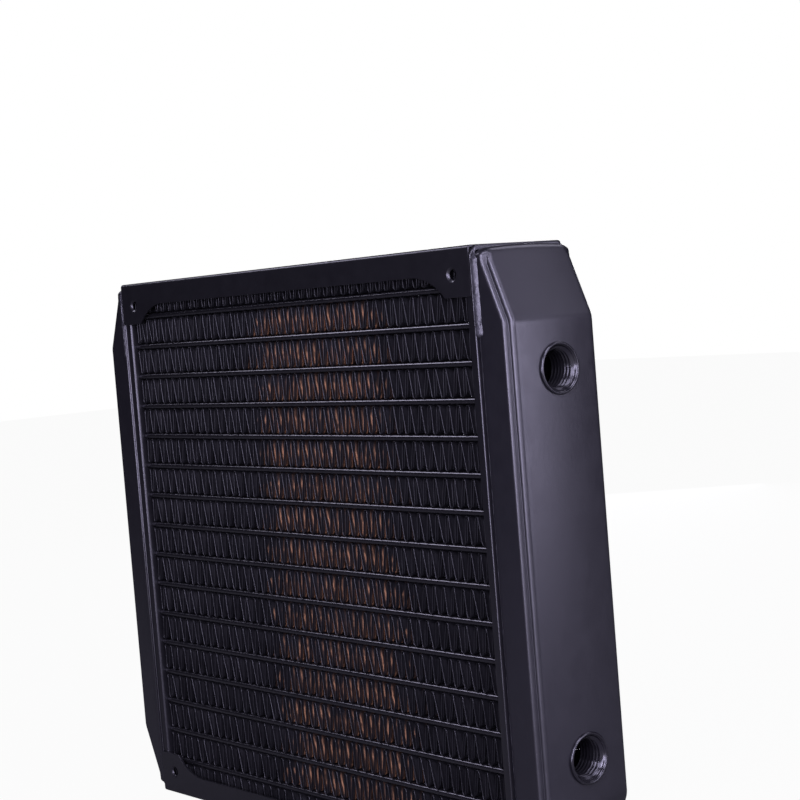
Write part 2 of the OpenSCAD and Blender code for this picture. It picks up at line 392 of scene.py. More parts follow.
def fin_foil(name):
    """Copper foil, sprayed black from both fan faces: the spray thins out towards the core's middle."""
    n = Nodes(name)
    split = n.axes()
    # depth behind the nearer fan face, in millimetres
    away = n.math("ABSOLUTE", (split, "Y"))
    depth = n.math("MULTIPLY_ADD", (away, 0), -1 / MM, fin_half_y)
    # 0 in the lightly sprayed middle of the core, 1 towards its ends
    along = n.math("ABSOLUTE", (n.math("SUBTRACT", (split, "X"), BARE_CENTRE * MM), 0))
    end_zone = n.ramp(along, 0, 0.0, 1.0, BARE_INNER * MM, BARE_OUTER * MM)
    # the lower part of each cell lies in the spray's shadow
    rise = n.math("SUBTRACT", (split, "Z"), ROW_START * MM)
    cell = n.math("FRACT", (n.math("DIVIDE", (rise, 0), ROW_PITCH * MM), 0))
    upper = n.ramp(cell, 0, 0.0, SPRAY_ABOVE, 0.5, 1.0)
    # painted shade: the rows beside the side plates, which lie in the plates' shadow, are painted black
    # all through
    off_middle = n.math("ABSOLUTE", (n.math("SUBTRACT", (split, "Z"), WIDTH / 2 * MM), 0))
    shaded_outer_row = n.math("GREATER_THAN", (off_middle, 0), (ROW_LAST - WIDTH / 2) * MM)
    paint_and_shade_cover = n.math("MULTIPLY_ADD", (shaded_outer_row, 0), SPRAY_DEEP, (upper, "Result"))
    patch = n.noise(9, 3)
    streak = n.noise(0.9, 2, 0.5, (1, 1, 0.25))
    reach = n.math("MULTIPLY_ADD", (end_zone, "Result"), SPRAY_DEEP, SPRAY_THIN)
    wander = n.math("MULTIPLY_ADD", (patch, "Fac"), SPRAY_WANDER, -SPRAY_WANDER / 2)
    limit = n.math("ADD", (n.math("ADD", (reach, 0), (wander, 0)), 0), (paint_and_shade_cover, 0))
    past = n.math("SUBTRACT", (depth, 0), (limit, 0))
    ragged = n.math("MULTIPLY_ADD", (streak, "Fac"), 1.8, (past, 0))
    bare = n.ramp(ragged, 0, 0.0, 0.9, 0.7, 2.6)
    # painted glints: bare copper is brightened to a glint colour in a narrow band just behind the spray,
    # standing in for light the folds reflect
    glint_at = n.math("MULTIPLY_ADD", (patch, "Fac"), GLINT_WANDER, GLINT_DEPTH - GLINT_WANDER / 2)
    off = n.math("ABSOLUTE", (n.math("SUBTRACT", (depth, 0), (glint_at, 0)), 0))
    glint_band = n.ramp(off, 0, 1.0, 0.0, 0.06, 0.36)
    # the painted glints are strongest low in each cell
    glow = n.ramp(cell, 0, 1.0, 0.1, 0.55, 0.85)
    painted_glint = n.math("MULTIPLY", (glint_band, "Result"), (glow, "Result"))
    painted_glint_streaks = n.math("MULTIPLY", (n.ramp(streak, "Fac", 0.1, 1.0, 0.36, 0.56), "Result"), (painted_glint, 0))
    # dark copper, and the painted glint colour where the glint mask is high
    copper = n.mix_colour((painted_glint_streaks, 0), (0.058, 0.034, 0.028), (0.82, 0.41, 0.25))
    black = n.mix_colour((patch, "Fac"), (0.0028, 0.0027, 0.0036), (0.0062, 0.0058, 0.0078))
    tone = n.mix_colour((bare, "Result"), (black, 2), (copper, 2))
    n.link(tone, 2, n.shader, "Base Color")
    n.link(bare, "Result", n.shader, "Metallic")
    gloss = n.ramp(patch, "Fac", 0.30, 0.38, 0.35, 0.65)
    n.link(gloss, "Result", n.shader, "Roughness")
    n.set(specular_ior_level=0.29, specular_tint=SHEEN)
    n.bump([(n.noise(1.2, 2, 0.5, (1, 1, 0.35)), "Fac", 0.03)])
    return n.material


def bare_metal(name, colour, rough=(0.25, 0.4)):
    """Plain metal with fine machining marks and a little tarnish."""
    n = Nodes(name)
    tarnish = n.noise(3, 4)
    tone = n.mix_colour((tarnish, "Fac"), tuple(c * 0.7 for c in colour), colour)
    n.link(tone, 2, n.shader, "Base Color")
    n.set(metallic=1.0)
    gloss = n.ramp(tarnish, "Fac", rough[0], rough[1])
    n.link(gloss, "Result", n.shader, "Roughness")
    n.bump([(n.noise(0.2, 2), "Fac", 0.004)])
    return n.material


def seal_rubber(name):
    n = Nodes(name)
    dust = n.noise(1.5, 4)
    tone = n.mix_colour((dust, "Fac"), (0.008, 0.008, 0.008), (0.02, 0.02, 0.02))
    n.link(tone, 2, n.shader, "Base Color")
    gloss = n.ramp(dust, "Fac", 0.5, 0.7)
    n.link(gloss, "Result", n.shader, "Roughness")
    n.bump([(n.noise(0.3, 3), "Fac", 0.01)])
    return n.material


# ---- tanks ----

TANK_BEND = 23.6
TANK_RUN = 9.3
TOP_CORNER_R = 3.1
TOP_BULGE = 0.9
RIDGE_DROP = 1.9
BODY_TOP = TANK_TOP + TOP_BULGE
BEND_R = 8.0
PANEL_CROWN = 0.8
PANEL_INSET = 1.65
PANEL_H = 1.6
RIDGE_OUT_R = 1.4
RIDGE_IN_R = 1.45
GROOVE_R = 0.22
END_ROUND_Y = 4.4
END_ROUND_DEEP = 2.2
STEP_FADE = 2.6
FOOT_RUN = 1.1


def rounded_path(points, radii, steps=6):
    """A polyline in (x, z) with its corners rounded."""
    out = []
    for i, point in enumerate(points):
        p = Vector(point)
        if i in (0, len(points) - 1):
            out.append(p)
            continue
        into = (p - Vector(points[i - 1])).normalized()
        away = (Vector(points[i + 1]) - p).normalized()
        turn = into.angle(away)
        reach = radii[i] * math.tan(turn / 2)
        start = p - into * reach
        side = Vector((into.y, -into.x))
        if side.dot(away) < 0:
            side = -side
        centre = start + side * radii[i]
        for s in range(steps + 1):
            spoke = start - centre
            spin = turn * s / steps
            sign = 1 if into.x * away.y - into.y * away.x > 0 else -1
            c, q = math.cos(spin * sign), math.sin(spin * sign)
            out.append(centre + Vector((spoke.x * c - spoke.y * q, spoke.x * q + spoke.y * c)))
    return out


def densify(points, longest):
    """Adds points so that no step of the path is longer than given."""
    out = [points[0]]
    for a, b in zip(points, points[1:]):
        count = max(1, math.ceil((b - a).length / longest))
        for i in range(1, count + 1):
            out.append(a.lerp(b, i / count))
    return out


def path_normals(points):
    """Unit normals of a path, to the left of its direction of travel."""
    normals = []
    for i in range(len(points)):
        before = points[max(i - 1, 0)]
        after = points[min(i + 1, len(points) - 1)]
        run = (after - before).normalized()
        normals.append(Vector((-run.y, run.x)))
    return normals


def tank_section(step, inset):
    """Half of the tank's section as (distance from the middle, depth below the end face's middle).

    step is 1 for the full stepped shoulder and 0 for a plain rounded edge; inset is how far the
    section lies inside the outer skin. The end face is crowned.
    """
    panel_y = WALL_Y - PANEL_INSET
    flat = 12
    turn = 7
    stepped = [((panel_y - RIDGE_IN_R) * i / flat, inset) for i in range(flat)]
    stepped += arc((panel_y - RIDGE_IN_R, RIDGE_IN_R), RIDGE_IN_R - inset, -90, 0, turn)
    groove = (panel_y + GROOVE_R, PANEL_H - GROOVE_R)
    stepped += arc(groove, GROOVE_R + inset, 180, 90, 4)
    stepped += arc((WALL_Y - RIDGE_OUT_R, PANEL_H + RIDGE_OUT_R), RIDGE_OUT_R - inset, -90, 0, turn)
    plain = [((WALL_Y - END_ROUND_Y) * i / flat, inset) for i in range(flat)]
    curved = len(stepped) - flat
    for x, y in arc((0, 0), 1, -90, 0, curved - 1):
        plain.append((
            WALL_Y - END_ROUND_Y + x * (END_ROUND_Y - inset),
            END_ROUND_DEEP + y * (END_ROUND_DEEP - inset),
        ))
    section = []
    for (y0, deep0), (y1, deep1) in zip(plain, stepped):
        y = y0 + (y1 - y0) * step
        deep = deep0 + (deep1 - deep0) * step
        section.append((y, deep + PANEL_CROWN * min(y / panel_y, 1) ** 2))
    return section


def ease(x):
    x = min(max(x, 0.0), 1.0)
    return x * x * (3 - 2 * x)


def tank_rows(path, mirror, inset):
    """One skin of a tank as rows of points, one row for each point of its side view."""
    crest = BODY_TOP - RIDGE_DROP
    rows = []
    for point, normal in zip(path, path_normals(path)):
        from_end = min(crest - point.y, point.y - (WIDTH - crest))
        section = tank_section(ease(from_end / STEP_FADE), inset)
        row = []
        for side, order in ((-1, reversed(section)), (1, section[1:])):
            for y, deep in order:
                x, z = point - normal * deep
                x = max(x, FLOOR_X)
                row.append((x * mirror, side * y, z))
        rows.append(row)
    return rows


def tank_shell(name, mirror):
    """A tank swept along its side view: foot, top, slant, end face and back, with its wall's thickness."""
    low = WIDTH - BODY_TOP
    corners = [
        (FLOOR_X, BODY_TOP),
        (END_X - TANK_RUN, BODY_TOP),
        (END_X, WIDTH - TANK_BEND),
        (END_X, TANK_BEND),
        (END_X - TANK_RUN, low),
        (FLOOR_X, low),
    ]
    radii = [0, TOP_CORNER_R, BEND_R, BEND_R, TOP_CORNER_R, 0]
    path = densify(rounded_path(corners, radii), 1.2)
    verts = []
    faces = []
    offsets = []
    for inset in (0.0, SHEET_T):
        offset = len(verts)
        offsets.append(offset)
        rows = tank_rows(path, mirror, inset)
        for row in rows:
            verts += row
        cols = len(rows[0])
        inward = (mirror > 0) != (inset > 0)
        faces += [tuple(offset + i for i in quad) for quad in grid_faces(len(path), cols, flip=inward)]
        # flat side walls between the swept edge and the foot
        for col in (0, cols - 1):
            faces.append(tuple(offset + r * cols + col for r in range(len(path))))
    outer, inner = offsets
    last = (len(path) - 1) * cols
    for c in range(cols - 1):
        faces.append((outer + c, outer + c + 1, inner + c + 1, inner + c))
        faces.append((outer + last + c, inner + last + c, inner + last + c + 1, outer + last + c + 1))
    for c in (0, cols - 1):
        faces.append((outer + c, inner + c, inner + last + c, outer + last + c))
    obj = new_object(name, verts, faces)
    tidy_mesh(obj, smooth_angle=28)
    narrow_foot(obj, mirror)
    return obj


def narrow_foot(obj, mirror):
    """The walls stand out past the foot, which goes inside the header's rim."""
    bm = bmesh.new()
    bm.from_mesh(obj.data)
    for x in (LIP_END, LIP_END + FOOT_RUN * 0.5, LIP_END + FOOT_RUN):
        geometry = list(bm.verts) + list(bm.edges) + list(bm.faces)
        bmesh.ops.bisect_plane(bm, geom=geometry, plane_co=(x * mirror * MM, 0, 0), plane_no=(1, 0, 0))
    for vert in bm.verts:
        inside = 1 - ease((abs(vert.co.x) / MM - LIP_END) / FOOT_RUN)
        middle = WIDTH / 2 * MM
        vert.co.y *= 1 - (1 - FOOT_Y / WALL_Y) * inside
        shrink = 1 - TOP_BULGE / (BODY_TOP - WIDTH / 2) * inside
        vert.co.z = middle + (vert.co.z - middle) * shrink
    bm.to_mesh(obj.data)
    bm.free()
    tidy_mesh(obj, smooth_angle=28)


def port_cutter(x_centre, z_centre, radius, length):
    """A round cutter along X."""
    place = Matrix.Translation((x_centre, 0, z_centre)) @ Matrix.Rotation(math.pi / 2, 4, "Y")
    verts = []
    count = 64
    for height in (-length / 2, length / 2):
        for i in range(count):
            verts += turned([(radius, height)], 2 * math.pi * i / count, place)
    faces = [tuple(range(count))[::-1], tuple(range(count, 2 * count))]
    for i in range(count):
        j = (i + 1) % count
        faces.append((i, j, count + j, count + i))
    obj = new_object("cutter", verts, faces)
    tidy_mesh(obj)
    return obj


def build_tank(name, node, mirror, port_heights, material):
    obj = tank_shell(name, mirror)
    for height in port_heights:
        cut(obj, port_cutter(mirror * END_X, height, COLLAR_R - 0.6, 12))
    smooth(obj, 28)
    return finish_piece(obj, node, ROOT_BODY, material)


# ---- threaded ports ----

def thread_groove(turn, height):
    """0 at a thread's crest and 1 at its root; a right-hand thread about the local Z axis."""
    phase = (height / THREAD_PITCH - turn) % 1.0
    wave = abs(2 * phase - 1)
    return ease(min(max((wave - 0.12) / 0.76, 0.0), 1.0))


def port_place(x_face, z_centre, side):
    """Local Z points out of the port; height 0 is the collar's face."""
    return Matrix.Translation((x_face, 0, z_centre)) @ Matrix.Rotation(side * math.pi / 2, 4, "Y")


MOUTH_R = 7.2
MOUTH_ROOT_R = 6.62
MOUTH_DEPTH = 1.25
RIM_R = 0.46
COLLAR_H = 0.8


def build_port(name, node, place, material):
    """A collar with a rolled rim, a coned mouth and a cut thread."""
    segments = 120
    thread_steps = 9
    barrel_r = COLLAR_R - 0.62
    outer = [(barrel_r, -BARREL_LEN), (barrel_r, -COLLAR_H), (COLLAR_R, -COLLAR_H)]
    outer += arc((COLLAR_R - RIM_R, -RIM_R), RIM_R, 0, 90, 5)
    outer += arc((MOUTH_R + RIM_R * 0.6, -RIM_R * 0.6), RIM_R * 0.6, 90, 180, 5)
    step = THREAD_PITCH / thread_steps
    bore_heights = []
    height = -RIM_R * 0.6 - step
    while height > -BARREL_LEN + step * 0.5:
        bore_heights.append(height)
        height -= step
    bore_heights.append(-BARREL_LEN)
    verts = []
    for s in range(segments):
        turn = s / segments
        ring = list(outer)
        for height in bore_heights:
            cone = MOUTH_R - (MOUTH_R - MOUTH_ROOT_R) * min(-height / MOUTH_DEPTH, 1.0)
            fade = ease((-height - MOUTH_DEPTH * 0.8) / 0.8)
            cone -= (MOUTH_ROOT_R - BORE_R + 0.1) * fade
            ring.append((max(cone, BORE_R + THREAD_DEPTH * thread_groove(turn, height)), height))
        verts += turned(ring, 2 * math.pi * turn, place)
    cols = len(outer) + len(bore_heights)
    faces = grid_faces(segments, cols, closed_rows=True, closed_cols=True)
    obj = new_object(name, verts, faces, 40)
    tidy_mesh(obj, smooth_angle=40)
    return finish_piece(obj, node, ROOT_BODY, material)


# ---- bleed plug ----

def build_plug(material):
    """A low round head with a hexagon socket, and a threaded shank that meshes with its port."""
    place = port_place(bleed_bush_low.x, (bleed_bush_low.z + bleed_bush_high.z) / 2, -1)
    gap = 0.25
    head_top = bleed_bush_low.x - plug_low.x
    head_r = (plug_high.z - plug_low.z) / 2
    deep = plug_high.x - bleed_bush_low.x
    seal_r = (seal_high.z - seal_low.z) / 2
    groove = (seal_r - 1.65, seal_r + 0.15)
    edge = 0.7
    profile_head = [(0.001, head_top - 0.001)]
    profile_head += [(4.6, head_top - 0.001), (4.9, head_top - 0.25), (5.2, head_top - 0.001)]
    profile_head += arc((head_r - edge, head_top - edge), edge, 90, 0, 6)
    profile_head += arc((head_r - 0.25, gap + 0.25), 0.25, 0, -90, 3)
    profile_head += [(groove[1], gap), (groove[1], gap + 1.3), (groove[0], gap + 1.3), (groove[0], gap)]
    segments = 120
    step = THREAD_PITCH / 9
    clearance = 0.07
    heights = []
    height = gap - step
    while height > -deep + step * 0.5:
        heights.append(height)
        height -= step
    verts = []
    for s in range(segments):
        turn = s / segments
        ring = list(profile_head)
        for height in heights:
            root = BORE_R - clearance
            grown = root + (THREAD_DEPTH - 0.03) * thread_groove(turn, height)
            neck = ease((-height - MOUTH_DEPTH) / 0.6)
            tip = ease((height + deep) / 1.2)
            ring.append((root - 0.25 + (grown - root + 0.25) * neck * tip, height))
        ring.append((BORE_R - 1.2, -deep))
        ring.append((0.001, -deep))
        verts += turned(ring, 2 * math.pi * turn, place)
    cols = len(profile_head) + len(heights) + 2
    faces = grid_faces(segments, cols, closed_rows=True, closed_cols=True)
    obj = new_object("bleed_screw", verts, faces, 40)
    tidy_mesh(obj, merge=0.01, smooth_angle=40)
    hex_r = 3 / math.cos(math.pi / 6)
    hexagon = []
    for height in (head_top - 2.2, head_top + 1):
        for i in range(6):
            hexagon += turned([(hex_r, height)], math.pi / 3 * i, place)
    sides = [(i, (i + 1) % 6, 6 + (i + 1) % 6, 6 + i) for i in range(6)]
    socket = new_object("cutter", hexagon, [tuple(range(6))[::-1], tuple(range(6, 12))] + sides)
    tidy_mesh(socket)
    cut(obj, socket)
    smooth(obj, 40)
    return finish_piece(obj, "bleed_plug", PLUG_BODY, material)


def build_seal(material):
    place = port_place(bleed_bush_low.x, (bleed_bush_low.z + bleed_bush_high.z) / 2, -1)
    section = (seal_high.x - seal_low.x) / 2
    ring_r = (seal_high.z - seal_low.z) / 2 - section
    height = bleed_bush_low.x - seal_low.x - section
    profile = arc((ring_r, height), section, 0, 345, 23)
    obj = lathe("plug_o_ring", profile, 96, place, 60)
    return finish_piece(obj, "bleed_plug_seal", SEAL_BODY, material)


# ---- side plates ----

FLANGE_W = 8.4
SWEEP_START = 19.1
SWEEP_R = 20.2
TAB_CORNER = 3.7
FOLD_R = 1.1
SINK_R = 2.35
SINK_DEPTH = 0.54


def flange_edge():
    """The flange's lower edge in (x, z) from the left end to the right end."""
    centre = (FAN_HALF - SWEEP_START, WIDTH - FLANGE_W - SWEEP_R)
    corner_x = FAN_HALF - TAB_CORNER
    swing = math.degrees(math.asin((corner_x - centre[0]) / SWEEP_R))
    right = arc(centre, SWEEP_R, 90, 90 - swing, 14)
    right += [(corner_x + 0.5, WIDTH - TAB_W), (LIP_X, WIDTH - TAB_W)]
    left = [(-x, z) for x, z in reversed(right)]
    return left + right


def plate_skin(name, flip):
    """Outer skin of a side plate: front flange, fold, web, fold, back flange."""
    edge = flange_edge()
    straight_z = WIDTH - FOLD_R
    verts = []
    faces = []

    def place(x, y, z):
        return (x, y, WIDTH - z) if flip else (x, y, z)

    for side in (-1, 1):
        start = len(verts)
        outline = edge + [(LIP_X, straight_z), (-LIP_X, straight_z)]
        verts += [place(x, side * HALF_DEPTH, z) for x, z in outline]
        faces.append(tuple(range(start, start + len(outline))))
    fold = arc((-HALF_DEPTH + FOLD_R, straight_z), FOLD_R, 180, 90, 6)
    fold += arc((HALF_DEPTH - FOLD_R, straight_z), FOLD_R, 90, 0, 6)
    start = len(verts)
    for y, z in fold:
        verts.append(place(-LIP_X, y, z))
        verts.append(place(LIP_X, y, z))
    for i in range(len(fold) - 1):
        a = start + 2 * i
        faces.append((a, a + 1, a + 3, a + 2))
    obj = new_object(name, verts, faces)
    tidy_mesh(obj)
    bm = bmesh.new()
    bm.from_mesh(obj.data)
    # the web has to face away from the core
    web = max(bm.faces, key=lambda f: abs(f.normal.z) * f.calc_area())
    wanted = -1 if flip else 1
    if web.normal.z * wanted < 0:
        bmesh.ops.reverse_faces(bm, faces=bm.faces)
    bm.to_mesh(obj.data)
    bm.free()
    return obj


def fan_hole_cutter(x, z, side):
    """A countersunk cutter into a fan face."""
    turn = Matrix.Rotation(-side * math.pi / 2, 4, "X")
    place = Matrix.Translation((x, side * HALF_DEPTH, z)) @ turn
    r = FAN_HOLE_R
    flare = SINK_R + 0.25
    profile = [(0.001, 0.3), (flare, 0.3), (flare, 0.05), (SINK_R, 0.0), (SINK_R - 0.1, -0.04)]
    profile += [(r + 0.05, -SINK_DEPTH), (r, -SINK_DEPTH - 0.08), (r, -3), (0.001, -3)]
    count = 40
    verts = []
    for s in range(count):
        verts += turned(profile, 2 * math.pi * s / count, place)
    faces = grid_faces(count, len(profile), closed_rows=True)
    obj = new_object("cutter", verts, faces)
    tidy_mesh(obj, merge=0.004)
    return obj


def build_side_plate(name, node, flip, material):
    obj = plate_skin(name, flip)
    wall = obj.modifiers.new("wall", "SOLIDIFY")
    wall.thickness = PLATE_T * MM
    wall.offset = -1
    wall.use_even_offset = True
    apply_modifiers(obj)
    bevel(obj, 0.14, 2, 60)
    hole_z = HOLE_TO_EDGE if flip else WIDTH - HOLE_TO_EDGE
    for x in (-FAN_HALF, FAN_HALF):
        for side in (-1, 1):
            cut(obj, fan_hole_cutter(x, hole_z, side))
    even_normals(obj)
    return finish_piece(obj, node, ROOT_BODY, material)


# ---- header plates ----

LIP_CORNER = 3.0
RIM_CORNER = 2.0


def rect_loop(half_y, low_z, high_z, radius, steps=6):
    """A rectangle in (y, z), its corners rounded, or cut off straight where the radius is negative.

    The cut is smaller on the +Y side.
    """
    points = []
    if radius < 0:
        signs = [(1, 1), (-1, 1), (-1, -1), (1, -1)]
        for quarter, (sy, sz) in enumerate(signs):
            size = -radius * (1 if sy < 0 else 0.55)
            corner = (half_y * sy, high_z if sz > 0 else low_z)
            first = (corner[0], corner[1] - sz * size)
            last = (corner[0] - sy * size, corner[1])
            if quarter % 2:
                first, last = last, first
            for i in range(steps + 1):
                t = i / steps
                bow = 0.04 * size * math.sin(math.pi * t)
                y = first[0] + (last[0] - first[0]) * t + sy * bow
                z = first[1] + (last[1] - first[1]) * t + sz * bow
                points.append((y, z))
        return points
    corners = [
        (half_y - radius, high_z - radius, 0),
        (-half_y + radius, high_z - radius, 90),
        (-half_y + radius, low_z + radius, 180),
        (half_y - radius, low_z + radius, 270),
    ]
    for y, z, start in corners:
        points += arc((y, z), radius, start, start + 90, steps)
    return points


def build_header(name, node, mirror, material):
    """A tray with its rim turned outwards in a lip, and a slot for each tube in its floor."""
    body = HALF_DEPTH - PLATE_T
    inner = HALF_DEPTH - PLATE_T - SHEET_T
    nose = (LIP_END - LIP_X) / 2
    rings = [(FLOOR_X, inner, RIM_CORNER - SHEET_T), (LIP_END - 0.1, inner, RIM_CORNER - SHEET_T)]
    rings.append((LIP_END, inner + 0.1, RIM_CORNER - SHEET_T))
    for x, y in arc((LIP_X + nose, HALF_DEPTH - nose), nose, 0, 180, 8):
        rings.append((x, y, -LIP_CORNER * (1 - (HALF_DEPTH - y) / 6)))
    rings += [
        (LIP_X, body + 0.15, RIM_CORNER),
        (LIP_X - 0.15, body, RIM_CORNER),
        (HEADER_X + 0.9, body, RIM_CORNER),
        (HEADER_X + 0.45, body - 0.12, RIM_CORNER),
        (HEADER_X + 0.12, body - 0.45, RIM_CORNER),
        (HEADER_X, body - 0.9, RIM_CORNER),
    ]
    verts = []
    for x, half_y, corner in rings:
        margin = HALF_DEPTH - half_y
        for y, z in rect_loop(half_y, margin, WIDTH - margin, corner):
            verts.append((x * mirror, y, z))
    cols = len(rect_loop(1, 0, 2, 0.1))
    faces = grid_faces(len(rings), cols, closed_cols=True)
    last = (len(rings) - 1) * cols
    faces.append(tuple(range(cols)))
    faces.append(tuple(range(last, last + cols)))
    obj = new_object(name, verts, faces)
    tidy_mesh(obj)
    for tube in TUBES:
        low, high = box_mm(tube)
        cut(obj, tube_bar("cutter", low, high, 0.04, (HEADER_X - 2) * mirror, (FLOOR_X + 2) * mirror))
    smooth(obj, 30)
    return finish_piece(obj, node, ROOT_BODY, material)


# ---- tubes ----

def stadium(half_y, half_z, steps=8):
    """A flat tube's outline in (y, z) about its centre."""
    flat = half_y - half_z
    return arc((flat, 0), half_z, -90, 90, steps) + arc((-flat, 0), half_z, 90, 270, steps)


def tube_bar(name, low, high, grow, x0, x1):
    """A solid bar of tube section between two places along X."""
    mid_z = (low.z + high.z) / 2
    loop = stadium(high.y + grow, (high.z - low.z) / 2 + grow)
    verts = [(x, y, mid_z + z) for x in (x0, x1) for y, z in loop]
    count = len(loop)
    faces = grid_faces(2, count, closed_cols=True)
    faces += [tuple(range(count)), tuple(range(count, 2 * count))]
    obj = new_object(name, verts, faces)
    tidy_mesh(obj)
    return obj


TUBE_WALL = 0.25
TUBE_STEP = 1.1


def build_tube(node, material):
    """A flat tube, its noses a little uneven where fins are brazed and paint has gathered."""
    low, high = box_mm(node)
    mid_z = (low.z + high.z) / 2
    half_z = (high.z - low.z) / 2
    outer = stadium(high.y - 0.06, half_z)
    inner = stadium(high.y - 0.06 - TUBE_WALL, half_z - TUBE_WALL)
    stations = round((high.x - low.x) / TUBE_STEP)
    count = len(outer)
    verts = []
    for s in range(stations + 1):
        x = low.x + (high.x - low.x) * s / stations
        for y, z in outer:
            nose = ease((abs(y) - (high.y - half_z)) / half_z)
            lump = 0.07 * noise.noise(Vector((x * 0.55, math.copysign(7, y), mid_z)))
            lump += 0.05 * noise.noise(Vector((x * 1.7, math.copysign(3, y), mid_z * 2)))
            verts.append((x, y + math.copysign(nose * lump, y), mid_z + z))
    offset = len(verts)
    for x in (low.x, high.x):
        for y, z in inner:
            verts.append((x, y, mid_z + z))
    faces = grid_faces(stations + 1, count, closed_cols=True)
    for c in range(count):
        d = (c + 1) % count
        near, far = offset, offset + count
        last = stations * count
        faces.append((near + c, far + c, far + d, near + d))
        faces.append((c, near + c, near + d, d))
        faces.append((last + c, last + d, far + d, far + c))
    obj = new_object(node.replace("flat_tube", "tube"), verts, faces)
    tidy_mesh(obj, smooth_angle=40)
    return finish_piece(obj, node, ROOT_BODY, material)


# ---- fins ----

FOLDS = 42
FOIL_T = 0.16
FOIL_NOSE = 0.07
CREST_R = 0.68
LOUVRE_PITCH = 1.35
LOUVRE_SWING = 0.3
LOUVRES = 2
BARE_CENTRE = 14.0
BARE_INNER = 26.0
BARE_OUTER = 84.0
SPRAY_THIN = 0.7
SPRAY_DEEP = 6.0
SPRAY_WANDER = 2.4
SPRAY_ABOVE = 1.5
# depth and wander of the band of painted copper glints
GLINT_DEPTH = 1.7
GLINT_WANDER = 1.6
fin_half_y = box_mm(FINS[1])[1].y
row_heights = sorted(sum(v.z for v in box_mm(tube)) / 2 for tube in TUBES)
ROW_START = row_heights[0]
ROW_LAST = row_heights[-1]
ROW_PITCH = (ROW_LAST - ROW_START) / (len(row_heights) - 1)


def louvre_stations(half_y):
    """(y, swing) across the foil: a plain edge, louvres behind it, a flat middle, and the same again."""
    front = [(-half_y, 0.0), (-half_y + 0.14, 0.0), (-half_y + 0.75, 0.0)]
    y = -half_y + 0.8
    for _ in range(LOUVRES):
        front.append((y, -LOUVRE_SWING))
        front.append((y + LOUVRE_PITCH - 0.05, LOUVRE_SWING))
        y += LOUVRE_PITCH
    front.append((y, 0.0))
    return front + [(-y, -swing) for y, swing in reversed(front)]


def fin_path(low, high):
    """The folded line of one strip as (x, z, louvre strength), with small irregularities."""
    count = 2 * FOLDS
    step = (high.x - low.x) / count
    mid = (low.z + high.z) / 2
    reach = (high.z - low.z) / 2 - FOIL_T / 2 - 0.02
    path = []
    for k in range(count + 1):
        side = 1 if k % 2 == 0 else -1
        edge = k in (0, count)
        x = low.x + k * step + (0 if edge else rng.uniform(-0.2, 0.2) * step)
        r = CREST_R * rng.uniform(0.75, 1.2)
        top = reach - rng.uniform(0, 0.10)
        x = min(max(x, low.x + r + FOIL_T), high.x - r - FOIL_T)
        crest = arc((x, top - r), r, 180, 0, 4)
        if path:
            start_x, start_z = path[-1][0], path[-1][1]
            end_x, end_z = crest[0][0], mid + side * crest[0][1]
            for t in (0.12, 0.88):
                path.append((start_x + (end_x - start_x) * t, start_z + (end_z - start_z) * t, 1.0))
        path += [(px, mid + side * pz, 0.0) for px, pz in crest]
    return path


def build_fins(node, material):
    """A serpentine strip of foil with rounded crests and louvred walls."""
    low, high = box_mm(node)
    path = fin_path(low, high)
    points = [Vector((x, z)) for x, z, _ in path]
    normals = path_normals(points)
    stations = louvre_stations(high.y - 0.18)
    cols = len(path)
    ragged = [rng.uniform(-0.09, 0.09) for _ in range(cols)]
    verts = []
    for face in (0.5, -0.5):
        for j, (y, swing) in enumerate(stations):
            edge = 1 if j in (0, len(stations) - 1) else 0
            for k, (point, normal) in enumerate(zip(points, normals)):
                shift = FOIL_T * face + swing * path[k][2]
                p = point + normal * shift
                verts.append((p.x, y + edge * ragged[k] * (1 if y < 0 else -1), p.y))
    rows = len(stations)
    faces = grid_faces(rows, cols)
    offset = rows * cols
    faces += [tuple(offset + i for i in quad[::-1]) for quad in grid_faces(rows, cols)]
    # the foil's edges are rounded over, which makes them catch the light
    noses = len(verts)
    for side, y in ((1, stations[0][0]), (-1, stations[-1][0])):
        for k, point in enumerate(points):
            verts.append((point.x, y + side * (ragged[k] - FOIL_NOSE), point.y))
    for k in range(cols - 1):
        last = (rows - 1) * cols + k
        front, back = noses + k, noses + cols + k
        faces += [(k, front, front + 1, k + 1), (front, offset + k, offset + k + 1, front + 1)]
        faces += [(last, last + 1, back + 1, back), (back, back + 1, offset + last + 1, offset + last)]
    for k, end in ((0, 1), (cols - 1, -1)):
        last = (rows - 1) * cols + k
        front = (k, noses + k, offset + k)[::end]
        back = (last, noses + cols + k, offset + last)[::-end]
        faces += [front[::-1], back[::-1]]
    for j in range(rows - 1):
        a, b = j * cols, (j + 1) * cols
        faces.append((a, b, offset + b, offset + a))
        a, b = a + cols - 1, b + cols - 1
        faces.append((a, offset + a, offset + b, b))
    obj = new_object(node.replace("fin_strip", "fins"), verts, faces, 65)
    return finish_piece(obj, node, ROOT_BODY, material)


# ---- solder ----

THICK_START = 2.0
THICK_RUN = 27.4
# sections of the seam as (distance from the lip's root, height): thin, along the top, and thick
SEAM_THIN = [
    (0.70, 0.07), (0.84, 0.06), (0.88, 0.05), (0.92, 0.03), (0.96, 0.02), (1.00, 0.00), (1.00, -0.1),
    (0.70, -0.1),
]
SEAM_TOP = [
    (0.70, 1.02), (0.92, 1.00), (1.14, 0.88), (1.32, 0.66), (1.42, 0.40), (1.46, 0.1), (1.40, -0.1),
    (0.70, -0.1),
]
SEAM_THICK = [
    (0.42, 1.28), (0.56, 1.34), (0.78, 1.64), (1.30, 1.62), (1.95, 1.36), (2.60, 0.96), (3.05, 0.5),
    (0.40, 0.3),
]


